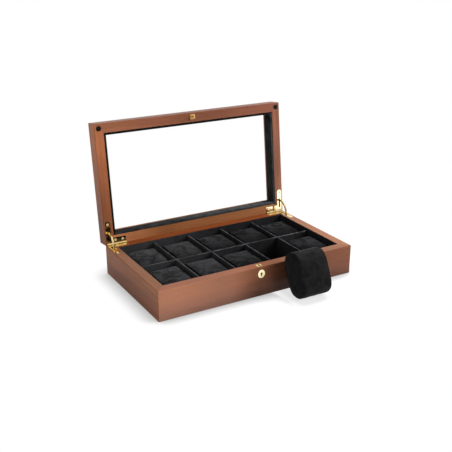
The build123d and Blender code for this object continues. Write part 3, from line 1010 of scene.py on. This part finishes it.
@dataclass
class Pillow:
    """One stuffed cushion: a band wrapped round its length between two stitched end caps."""

    width: float = 0.05304
    length: float = 0.0730
    height: float = 0.0370
    corner: float = 0.0170
    edge: float = 0.0030
    bend_steps: int = 8
    edge_steps: int = 3
    slack: float = 0.0018
    end_slack: float = 0.0002
    enlarge: float = 6.0
    voxel: float = 0.012
    quick_voxel: float = 0.002
    frames: int = 20
    most_swell: float = 0.0022
    cord_radius: float = 0.0007
    seam_inset: float = 0.0012
    seam_reach: float = 1.2
    rim_reach: float = 1.6
    rounds: int = 2
    quick_rounds: int = 3
    cord_steps: int = 10
    cord_cuts: int = 3
    sharp: float = 60.0
    weld: float = 0.00002
    stuffing: tuple[tuple[str, object], ...] = (
        ("quality", 6), ("mass", 0.3), ("vertex_group_mass", "seam"),
        ("tension_stiffness", 12.0), ("compression_stiffness", 12.0),
        ("shear_stiffness", 4.0), ("bending_stiffness", 0.4),
        ("use_pressure", True), ("uniform_pressure_force", 4.0),
    )

    def halves(self) -> list[float]:
        """Give half the blank's width, length and height."""
        slack = (self.slack, self.end_slack, self.slack)
        return [a / 2.0 - b for a, b in zip((self.width, self.length, self.height), slack)]

    def bend(self) -> float:
        """Give the radius of the blank's long rounded edges."""
        return self.corner - self.slack

    def blank(self, name: str) -> Piece:
        """Shape the cushion before it is stuffed, slightly small and centred at the origin.

        Args:
            name: name of the piece.

        Returns:
            The blank.
        """
        half = self.halves()
        piece = block(name, [-size for size in half], half)
        bevel(piece, lambda a, b: abs(a.x - b.x) > half[0], self.bend(), self.bend_steps)
        end = half[0] - TINY
        bevel(piece, lambda a, b: a.x * b.x > end * end, self.edge, self.edge_steps)
        return piece

    def hold_seams(self, piece: Piece) -> None:
        """Weight the points of the enlarged blank by how near they lie to an end seam.

        Args:
            piece: the enlarged blank.
        """
        seam = piece.vertex_groups.new(name="seam")
        seam_x = (self.halves()[0] - self.seam_inset) * self.enlarge
        for point in piece.data.vertices:
            along = abs(abs(point.co.x) - seam_x) / (self.voxel * self.seam_reach)
            inward = self.rim_distance(point.co) / (self.voxel * self.rim_reach)
            weight = max(0.0, 1.0 - along) * max(0.0, 1.0 - inward)
            seam.add([point.index], weight, "REPLACE")

    def rim_distance(self, place: Vector) -> float:
        """Tell how far inside the rounded outline of the enlarged section a point lies.

        Args:
            place: the point, enlarged.

        Returns:
            Distance to the outline, in enlarged metres.
        """
        big = self.enlarge
        radius = self.bend() * big
        dy = max(0.0, abs(place.y) - (self.halves()[1] * big - radius))
        dz = max(0.0, abs(place.z) - (self.halves()[2] * big - radius))
        if dy > 0.0 and dz > 0.0:
            return abs(radius - math.hypot(dy, dz))
        return radius - max(dy, dz)

    def stuff(self, piece: Piece) -> None:
        """Swell the blank with cloth simulation, its two end seams held.

        Args:
            piece: the blank.
        """
        big = self.enlarge
        put(piece, Matrix.Scale(big, 4))
        even_out(piece, self.voxel, self.rounds)
        self.hold_seams(piece)
        start = [point.co.copy() for point in piece.data.vertices]
        cloth = piece.modifiers.new("stuffing", "CLOTH")
        for key, value in self.stuffing:
            setattr(cloth.settings, key, value)
        cloth.settings.effector_weights.gravity = 0.0
        scene = bpy.context.scene
        for frame_number in range(1, self.frames + 1):
            scene.frame_set(frame_number)
        take(piece)
        bpy.ops.object.modifier_apply(modifier=cloth.name)
        scene.frame_set(1)
        cap = self.most_swell * big
        for point, origin in zip(piece.data.vertices, start):
            moved = point.co - origin
            if moved.length > cap:
                point.co = origin + moved.normalized() * cap
        put(piece, Matrix.Scale(1.0 / big, 4))

    def cord(self, piece: Piece, end: float, name: str) -> Piece:
        """Lay a thin piping cord round one end seam.

        Args:
            piece: the stuffed cushion.
            end: -1 for the left cap, 1 for the right cap.
            name: name of the cord.

        Returns:
            The cord as a mesh tube.
        """
        half = self.halves()
        clear_hands()
        bpy.ops.mesh.primitive_plane_add(size=1.0)
        loop = bpy.context.object
        loop.name = name
        loop.scale = (2.0 * half[1], 2.0 * half[2], 1.0)
        settle(loop)
        put(loop, Matrix(((0, 0, 1, 0), (1, 0, 0, 0), (0, 1, 0, 0), (0, 0, 0, 1))))
        with editing(loop, Part.POINT):
            bpy.ops.mesh.bevel(
                offset=self.bend(),
                offset_type="OFFSET",
                segments=self.cord_steps,
                affect="VERTICES",
            )
        with editing(loop, Part.FACE):
            bpy.ops.mesh.delete(type="ONLY_FACE")
        with editing(loop, Part.EDGE):
            bpy.ops.mesh.subdivide(number_cuts=self.cord_cuts)
        put(loop, Matrix.Translation((end * (half[0] - self.seam_inset), 0.0, 0.0)))
        finish_with(
            loop, "SHRINKWRAP", target=piece, wrap_method="NEAREST_SURFACEPOINT", offset=0.0
        )
        take(loop)
        bpy.ops.object.convert(target="CURVE")
        tube = bpy.context.object.data
        tube.bevel_depth = self.cord_radius
        tube.bevel_resolution = 2
        bpy.ops.object.convert(target="MESH")
        made = bpy.context.object
        made.name = name
        with editing(made, Part.EDGE):
            bpy.ops.mesh.remove_doubles(threshold=self.weld)
            bpy.ops.mesh.normals_make_consistent(inside=False)
        return made

    def make(self, name: str) -> Piece:
        """Make one finished cushion at the origin.

        Args:
            name: name of the piece.

        Returns:
            The cushion with its two piping cords.
        """
        piece = self.blank(name)
        self.stuff(piece)
        finish_with(piece, "SUBSURF", levels=1, render_levels=1)
        cords = [self.cord(piece, end, f"{name}_cord") for end in (-1.0, 1.0)]
        take(piece)
        for each in cords:
            each.select_set(True)
        bpy.context.view_layer.objects.active = piece
        bpy.ops.object.join()
        smooth(piece, self.sharp)
        return piece


@dataclass
class Cushions:
    """The nine seated cushions and the one that leans outside.

    Each column, from the left, has its own raised colour, least pile at the front of the painted
    sheen,
    and shine: painted light, lighter in the left columns.
    """

    pillow: Pillow = field(default_factory=Pillow)
    fuller: Pillow = field(
        default_factory=lambda: Pillow(width=0.0550, height=0.0490, corner=0.0230)
    )
    lean: float = 25.5
    fold_size: float = 0.013
    fold_depth: float = 0.0011
    # Margins inside each compartment; between them the painted sheen grows lighter towards the
    # rear.
    painted_sheen_front: float = 0.008
    painted_sheen_rear: float = 0.020
    pattern_step: Point = (0.37, 0.21, 0.53)
    column_painted_light: tuple[tuple[str, float, float], ...] = (
        ("434345", 0.7, 0.09), ("414143", 0.45, 0.08), ("3A3A3C", 0.25, 0.03),
        ("323234", 0.2, 0.01), ("343436", 0.2, 0.01),
    )

    def lay(self, piece: Piece, node: str, turn: Matrix, velvet: Velvet) -> None:
        """Lay a cushion in its place, press soft creases into it and cover it.

        Args:
            piece: the cushion at the origin.
            node: the solid it stands for, which is also its body.
            turn: how it is turned.
            velvet: its pile.
        """
        put(piece, Matrix.Translation(middle_of(*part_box(node))) @ turn)
        ripple(piece, self.fold_size, self.fold_depth, direction="NORMAL")
        hand_over(piece, velvet.material(), node, node)

    def seat(self, pattern: Piece, node: str, number: int) -> None:
        """Seat one copy of the cushion in its compartment.

        Args:
            pattern: the finished cushion at the origin.
            node: the solid it stands for.
            number: its number, which sets its pile and which way round it sits.
        """
        low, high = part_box(node)
        # The column's pile, least share and sheen are painted light.
        raised, least, shine = self.column_painted_light[int(node[-1]) - 1]
        velvet = Velvet(
            f"velvet_{node}_pile",
            raised=raised,
            least=least,
            sheen=shine,
            shine=shine,
            shift=tuple(number * step for step in self.pattern_step),
            painted_sheen_span=(low[1] + self.painted_sheen_front, high[1] - self.painted_sheen_rear),
        )
        turn = Matrix.Rotation(math.pi if number % 2 else 0.0, 4, "Z")
        self.lay(copy_of(pattern, "velvet_" + node), node, turn, velvet)

    def lean_one(self) -> None:
        """Make the fuller loose cushion and lean it against the front of the case."""
        piece = self.fuller.make("velvet_loose_cushion")
        turn = Matrix.Rotation(math.radians(90.0 - self.lean), 4, "X")
        # Painted shade: the leaning cushion's raised pile is darker than on the seated ones.
        velvet = Velvet("velvet_loose_pile", raised="272728", side=0.6, shift=(4.1, 1.7, 2.9))
        self.lay(piece, "loose_cushion", turn, velvet)

    def build(self) -> None:
        """Make one cushion and copy it to every place."""
        pattern = self.pillow.make("cushion_pattern")
        places = [f"cushion_front_{number}" for number in (1, 2, 3, 5)]
        places += [f"cushion_rear_{number}" for number in (1, 2, 3, 4, 5)]
        for number, node in enumerate(places):
            self.seat(pattern, node, number)
        self.lean_one()
        bpy.data.objects.remove(pattern, do_unlink=True)


@dataclass
class Lid:
    """The framed pane: walnut rails, the glass, the velvet strips round it and two bumpers."""

    nodes: Mapping[str, Piece]
    hood: Hood
    length: float = 0.350
    depth: float = 0.200
    rail: float = 0.0155
    strip: float = 0.004
    strip_low: float = 0.0005
    strip_high: float = 0.017
    strip_round: float = 0.0009
    strip_steps: int = 3
    # Painted light and shade along the rails as they stand open: the top rail darker towards the
    # right, the left rail darker low down, the rear rail light at its left end.
    top_rail_painted_shade: Stops = (
        (0.05, "B77B5A"), (0.30, "9F6853"), (0.44, "7D553F"), (0.62, "684A3D"), (0.93, "6B4C45"),
    )
    left_rail_painted_shade: Stops = ((0.20, "502E22"), (0.35, "502E22"), (0.62, "995D40"), (0.85, "C07652"))
    rear_rail_painted_light_and_shade: Stops = ((0.06, "F19E70"), (0.16, "C98455"), (0.30, "835433"), (0.90, "80563A"))

    def dress_rails(self) -> None:
        """Give each rail walnut with its grain along it and painted light and shade, and the pane
        its glass.
        """
        across = (self.hood.angle, 0.0, 0.0)
        upright = (self.hood.angle, 0.0, 90.0)
        # The rails' own palettes and tint are painted light and shade: the left rail's palette
        # lighter, the rear and right rails' palettes darker, the front rail's tint darker.
        Walnut(
            "walnut_lid_front", across, (3.7, 0.6, 1.4), gloss=0.16, painted_shade_tint="CFCCDC",
            along=self.top_rail_painted_shade,
        ).dress(self.nodes, "lid_front_rail")
        Walnut(
            "walnut_lid_rear", across, (2.9, 1.1, 0.9), "AA734B", "95603B", "7C4C2D",
            gloss=0.16, along=self.rear_rail_painted_light_and_shade,
        ).dress(self.nodes, "lid_rear_rail")
        Walnut(
            "walnut_lid_left", upright, (0.5, 1.9, 2.3), "C27E56", "AD6A44", "935337",
            gloss=0.10, along=self.left_rail_painted_shade, run=Run.UPWARD,
        ).dress(self.nodes, "lid_left_rail")
        Walnut(
            "walnut_lid_right", upright, (1.6, 2.7, 0.1), "A3715A", "915F47", "7A4C3A",
        ).dress(self.nodes, "lid_right_rail")
        Glass().dress(self.nodes, "lid_glass")
        RUBBER.dress(self.nodes, *(f"lid_{side.value}_bumper" for side in Side))

    def strips(self) -> None:
        """Make the four velvet strips inside the rails, mitred, and open them with the lid."""
        # The front and left strips take a darker copy of the strip velvet: painted shade.
        velvet = Velvet("velvet_strip", deep="1E1F20", raised="414345", side=0.7).material()
        painted_shade = Velvet("velvet_painted_shade_strip", deep="0B0A0A", raised="1C1A1A", side=0.7).material()
        far_x = self.length / 2.0 - self.rail
        far_y = self.depth / 2.0 - self.rail
        low_z = self.hood.underside + self.strip_low
        high_z = self.hood.underside + self.strip_high
        near_x, near_y = far_x - self.strip, far_y - self.strip
        plans = {
            "lid_front_strip": (-far_x, -far_y, far_x, -near_y, painted_shade),
            "lid_rear_strip": (-far_x, near_y, far_x, far_y, velvet),
            "lid_left_strip": (-far_x, -far_y, -near_x, far_y, painted_shade),
            "lid_right_strip": (near_x, -far_y, far_x, far_y, velvet),
        }
        for node, (left, front, right, rear, finish) in plans.items():
            piece = block("velvet_" + node, (left, front, low_z), (right, rear, high_z))
            self.mitre(piece, 0 if right - left > rear - front else 1)
            foot = low_z + NEAR
            bevel(piece, lambda a, b: max(a.z, b.z) < foot, self.strip_round, self.strip_steps)
            smooth(piece)
            put(piece, self.hood.opened())
            hand_over(piece, finish, "lid", node)

    def mitre(self, piece: Piece, along: int) -> None:
        """Draw in the inner edge of a strip so that its ends are mitred.

        Args:
            piece: the strip as a block.
            along: the axis it runs along, 0 for X or 1 for Y.
        """
        across = 1 - along
        outer = max(abs(point.co[across]) for point in piece.data.vertices)
        for point in piece.data.vertices:
            if abs(point.co[across]) < outer - self.strip / 2.0:
                point.co[along] -= math.copysign(self.strip, point.co[along])

    def build(self) -> None:
        """Build the whole lid."""
        self.dress_rails()
        self.strips()


@dataclass
class Furniture:
    """Brass hinges, stays, screws and lock parts."""

    nodes: Mapping[str, Piece]
    eased: float = 0.00028
    eased_steps: int = 2
    weld: float = 0.00001
    flat: float = 1.0
    sharp: float = 40.0

    def ease(self, node: str, body: str, material: bpy.types.Material) -> None:
        """Copy a stamped brass part and break its sharp edges, as polishing does.

        Args:
            node: the solid it stands for.
            body: the body it moves with.
            material: its brass.
        """
        piece = copy_of(self.nodes[node], "eased_" + node)
        with editing(piece, Part.EDGE):
            bpy.ops.mesh.remove_doubles(threshold=self.weld)
            bpy.ops.mesh.dissolve_limited(angle_limit=math.radians(self.flat))
        finish_with(
            piece,
            "BEVEL",
            width=self.eased,
            segments=self.eased_steps,
            limit_method="ANGLE",
            angle_limit=math.radians(self.sharp),
            use_clamp_overlap=True,
        )
        smooth(piece, self.sharp)
        finish_with(piece, "WEIGHTED_NORMAL", mode="FACE_AREA", keep_sharp=True)
        hand_over(piece, material, body, node)

    def build(self) -> None:
        """Give every metal part its finish."""
        brass = Brass("polished_brass_finish").material()
        # The pale brass is a lit copy of the polished brass: on the right lid leaf it is a painted
        # reflection, where the left leaf keeps the polished brass; the keyhole escutcheon takes it
        # too.
        pale = Brass("pale_brass_finish", "FFF1CC", "F2DBA0").material()
        struck = Brass("strike_brass_finish", "F5CB8C", "B98748", 0.30, 0.40, 0.45).material()
        for name in (
            "lid_strike_pins", "lock_plate_rivets", "lock_case", "lock_cover", "lock_screws",
            "left_hinge_pin", "right_hinge_pin",
        ):
            paint(self.nodes[name], brass)
            LOG.info("%s: %s", name, brass.name)
        wear_and_painted_light = Brass("worn_brass_finish", "FFE6BE", "F5D39C", 0.34, 0.42, 0.5)
        wear_and_painted_light.dress(self.nodes, "base_hinge_screws", "lid_hinge_screws")
        STEEL.dress(self.nodes, "lock_bolt", "lock_key_pin")
        for side in Side:
            self.ease(f"{side.value}_base_leaf", "base", brass)
            self.ease(f"{side.value}_lid_leaf", "lid", pale if side is Side.RIGHT else brass)
            self.ease(f"{side.value}_stay", f"{side.value}_stay", brass)
        self.ease("lid_strike", "lid", struck)
        self.ease("lock_plate", "base", brass)
        self.ease("keyhole_escutcheon", "base", pale)


# ---- studio ----


@dataclass(frozen=True)
class Card:
    """A card on the floor that only polished surfaces mirror: its middle, halves and level."""

    middle: Pair
    half: Pair
    level: float


@dataclass(frozen=True)
class Lamp:
    """One soft lamp: a square panel, or with a cone (in degrees) a soft-edged spotlight."""

    name: str
    place: Point
    aim: Point
    size: float
    power: float
    cone: float = 0.0

    def hang(self) -> None:
        """Hang the lamp in the scene, unseen by mirrors."""
        data = bpy.data.lights.new(self.name, "SPOT" if self.cone else "AREA")
        data.energy = self.power
        if self.cone:
            data.spot_size = math.radians(self.cone)
            data.spot_blend = 1.0
            data.shadow_soft_size = self.size
        else:
            data.shape = "SQUARE"
            data.size = self.size
        made = bpy.data.objects.new(self.name, data)
        made.location = self.place
        heading = Vector(self.aim) - Vector(self.place)
        made.rotation_euler = heading.to_track_quat("-Z", "Y").to_euler()
        made.visible_glossy = False
        bpy.context.scene.collection.objects.link(made)


@dataclass
class Studio:
    """Pale floor, white surround, soft lamps and the camera.

    The backdrop's rises say along which axis, over which range and from which level it turns
    white for polished metal, which sees it dimmer low down in front.
    """

    eye: Point = (-0.5709, -0.9759, 0.5105)
    yaw: float = -30.12
    pitch: float = 20.70
    lens: float = 59.23
    sensor: float = 36.0
    near_clip: float = 0.01
    floor_size: float = 6.0
    floor_grey: Colour = (0.82, 0.82, 0.82, 1.0)
    floor_gain: float = 0.25
    ambient: float = 0.27
    rises: tuple[tuple[str, float, float, float], ...] = (
        ("Y", -0.2, 0.4, 0.10), ("Z", 0.15, 0.7, 0.0), ("X", 0.3, 0.9, 0.0),
    )
    glow: float = 0.93
    contact: float = 0.034
    contact_samples: int = 12
    # Painted light near the leaning cushion: within soft_reach of its rectangle the shade is held
    # no darker than softest, rising to soft_edge.
    softest: float = 0.75
    soft_edge: float = 0.90
    soft_reach: float = 0.012
    shade_start: float = 0.015
    shade_end: float = 0.050
    case_half: Pair = (0.175, 0.100)
    leaning: tuple[Pair, Pair] = ((0.066, -0.130), (0.027, 0.030))
    cards: tuple[Card, ...] = (
        Card((-0.02, -0.43), (0.20, 0.17), 0.03), Card((0.52, -0.40), (0.16, 0.16), 1.7),
    )
    card_edge: float = 0.06
    direct: tuple[str, ...] = ("Camera", "Glossy", "Transmission")
    lamps: tuple[Lamp, ...] = (
        Lamp("key_panel", (1.0, -0.85, 0.62), (0.0, 0.0, 0.03), 0.5, 17.0),
        Lamp("top_panel", (0.50, 0.0, 0.50), (0.05, 0.0, 0.03), 0.35, 5.0),
        Lamp("left_panel", (-1.1, -0.12, 0.40), (-0.17, 0.0, 0.06), 0.6, 2.6),
        Lamp("front_pool", (-0.42, -1.45, 0.62), (-0.17, -0.09, 0.03), 0.08, 10.0, 17.0),
    )

    def camera(self) -> None:
        """Set up the camera."""
        data = bpy.data.cameras.new("viewpoint")
        data.lens = self.lens
        data.sensor_width = self.sensor
        data.clip_start = self.near_clip
        made = bpy.data.objects.new("viewpoint", data)
        made.location = self.eye
        made.rotation_euler = (math.radians(90.0 - self.pitch), 0.0, math.radians(self.yaw))
        bpy.context.scene.collection.objects.link(made)
        bpy.context.scene.camera = made

    def backdrop(self, bench: Bench) -> Socket:
        """Give the backdrop's strength.

        Args:
            bench: the node tree to add to.

        Returns:
            The value socket.
        """
        heading = bench.node("ShaderNodeTexCoord").outputs["Generated"]
        level = bench.maths("SUBTRACT", 1.0, bench.rays("MAXIMUM", "Glossy"))
        for axis, start, end, least in self.rises:
            share = bench.between(bench.part(heading, axis), least, 1.0, start, end)
            level = bench.maths("MAXIMUM", level, share)
        return level

    def surround(self) -> None:
        """Light the scene evenly from a white surround."""
        bench = Bench("surround", world=True)
        soft, white = (
            bench.node("ShaderNodeBackground", {"Color": WHITE, "Strength": strength}).outputs[0]
            for strength in (self.ambient, self.backdrop(bench))
        )
        bench.show(bench.mix(bench.rays("MAXIMUM", *self.direct), soft, white))
        bpy.context.scene.world = bench.made

    def apart(self, bench: Bench, middle: Pair, half: Pair) -> Socket:
        """Give the floor's distance from a rectangle that something stands on.

        Args:
            bench: the floor's material.
            middle: centre of the rectangle.
            half: half its two sides.

        Returns:
            The distance, zero inside the rectangle.
        """
        vector = bench.place(shift=(-middle[0], -middle[1], 0.0))
        for way, other in (("ABSOLUTE", None), ("SUBTRACT", (*half, 1.0)), ("MAXIMUM", UNMOVED)):
            inputs = {0: vector} if other is None else {0: vector, 1: other}
            vector = bench.node("ShaderNodeVectorMath", inputs, operation=way).outputs["Vector"]
        return bench.node("ShaderNodeVectorMath", {0: vector}, operation="LENGTH").outputs["Value"]

    def lay_cards(self, bench: Bench, shader: Socket) -> Socket:
        """Lay a dark and a bright card in front of the box that only polished surfaces mirror.

        Args:
            bench: the floor's material.
            shader: the floor without its cards.

        Returns:
            The floor with its cards.
        """
        polished = bench.rays("SUBTRACT", "Glossy", "Transmission")
        for card in self.cards:
            beyond = self.apart(bench, card.middle, card.half)
            shape = bench.between(beyond, 1.0, 0.0, 0.0, self.card_edge)
            mirrored = bench.node("ShaderNodeEmission", {"Strength": card.level}).outputs[0]
            shader = bench.mix(bench.maths("MULTIPLY", shape, polished), shader, mirrored)
        return shader

    def floor(self) -> None:
        """Lay the pale floor: white to the eye, and it keeps the box's shadow.

        Near where the leaning cushion stands, painted light over a fixed rectangle holds the shade
        to a least level.
        """
        clear_hands()
        bpy.ops.mesh.primitive_plane_add(size=self.floor_size, location=UNMOVED)
        ground = bpy.context.object
        ground.name = "pale_floor"
        bench = Bench("pale_floor_finish")
        beside = self.apart(bench, *self.leaning)
        # Painted light: the shade near the leaning cushion's rectangle is held to a least level.
        near = bench.between(beside, self.softest, self.soft_edge, 0.0, self.soft_reach)
        hold = bench.between(beside, 1.0, 0.0, self.soft_reach, self.contact)
        nearness = bench.node(
            "ShaderNodeAmbientOcclusion", {"Distance": self.contact}, samples=self.contact_samples
        ).outputs["AO"]
        shade = bench.maths("MAXIMUM", nearness, bench.maths("MULTIPLY", near, hold))
        gain = bench.between(shade, 0.0, self.floor_gain)
        bright = bench.node("ShaderNodeBsdfDiffuse", {"Color": gain}).outputs[0]
        inputs = {"Color": shade, "Strength": self.glow}
        glow = bench.node("ShaderNodeEmission", inputs).outputs[0]
        added = bench.node("ShaderNodeAddShader", {0: bright, 1: glow}).outputs[0]
        reach = bench.maths("MINIMUM", self.apart(bench, (0.0, 0.0), self.case_half), beside)
        far = bench.node("ShaderNodeEmission").outputs[0]
        fade = bench.between(reach, 0.0, 1.0, self.shade_start, self.shade_end)
        lit = self.lay_cards(bench, bench.mix(fade, added, far))
        plain = bench.node("ShaderNodeBsdfDiffuse", {"Color": self.floor_grey}).outputs[0]
        bench.show(bench.mix(bench.rays("MAXIMUM", *self.direct), plain, lit))
        paint(ground, bench.made)

    def build(self) -> None:
        """Build the studio."""
        self.camera()
        self.surround()
        self.floor()
        for lamp in self.lamps:
            lamp.hang()
        bpy.context.scene.view_settings.view_transform = "Standard"


def main() -> None:
    """Build every sub-assembly on the frame."""
    logging.basicConfig(level=logging.INFO, format="%(message)s")
    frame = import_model()
    nodes = frame["nodes"]
    hood = Hood()
    Studio().build()
    Case(nodes).build()
    Lining().build()
    Cushions().build()
    Lid(nodes, hood).build()
    Furniture(nodes).build()
    clear_hands()


if __name__ == "__main__":
    main()
